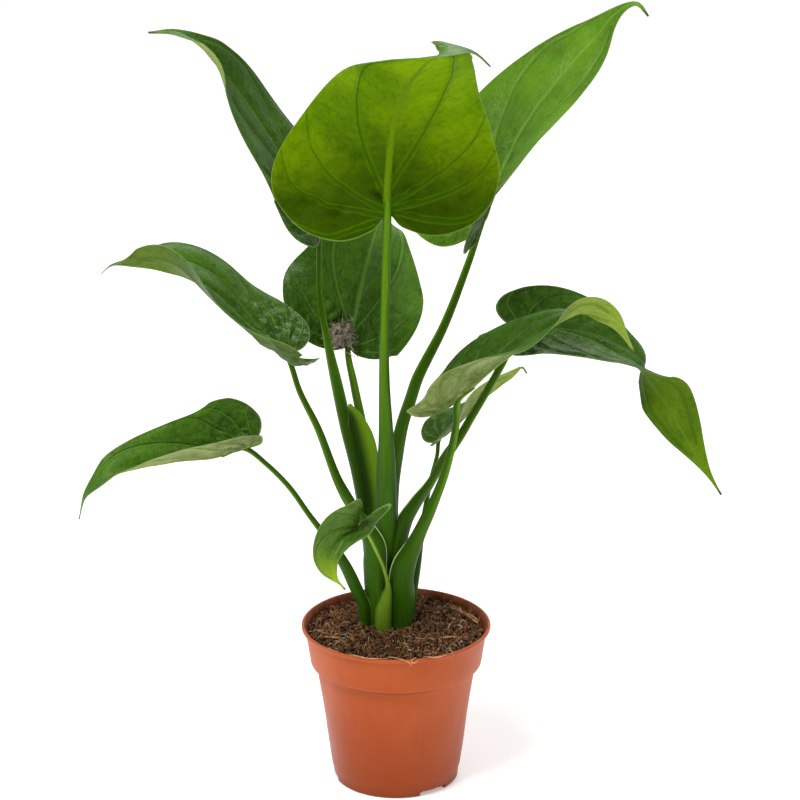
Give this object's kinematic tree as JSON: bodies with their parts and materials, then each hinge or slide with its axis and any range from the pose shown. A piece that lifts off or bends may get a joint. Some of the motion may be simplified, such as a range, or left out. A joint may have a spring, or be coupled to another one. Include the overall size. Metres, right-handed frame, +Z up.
{
  "type": "potted houseplant",
  "caption": "Potted alocasia: arching heart-shaped leaves on long stalks that wrap each other at the base, growing from soil in a tapered plastic nursery pot.",
  "frame": {"origin": "centre of the pot's underside, on the surface that it stands on", "axes": "+Z up along the pot's axis, the plant's height; -Y towards the side that the picture shows; +X to the right of that view"},
  "size_m": [0.3983, 0.2885, 0.5015],
  "materials": {
    "pot": "thin moulded plastic, satin",
    "soil": "dark crumbly peat with fibres",
    "blade": "glossy waxy leaf, paler underneath",
    "stalk": "smooth fleshy leaf stalk"
  },
  "bodies": {
    "root": {"pot": "pot", "soil": "soil", "crown": "stalk", "blade_front": "blade", "blade_upper_left": "blade", "blade_upper_right": "blade", "blade_back": "blade", "blade_middle_left": "blade", "blade_right_top": "blade", "blade_low_left": "blade", "blade_right_middle": "blade", "blade_right_low": "blade", "blade_small": "blade", "stalk_front": "stalk", "stalk_upper_left": "stalk", "stalk_upper_right": "stalk", "stalk_back": "stalk", "stalk_middle_left": "stalk", "stalk_right_top": "stalk", "stalk_low_left": "stalk", "stalk_right_middle": "stalk", "stalk_right_low": "stalk", "stalk_small": "stalk", "stalk_bud": "stalk"}
  },
  "joints": []
}
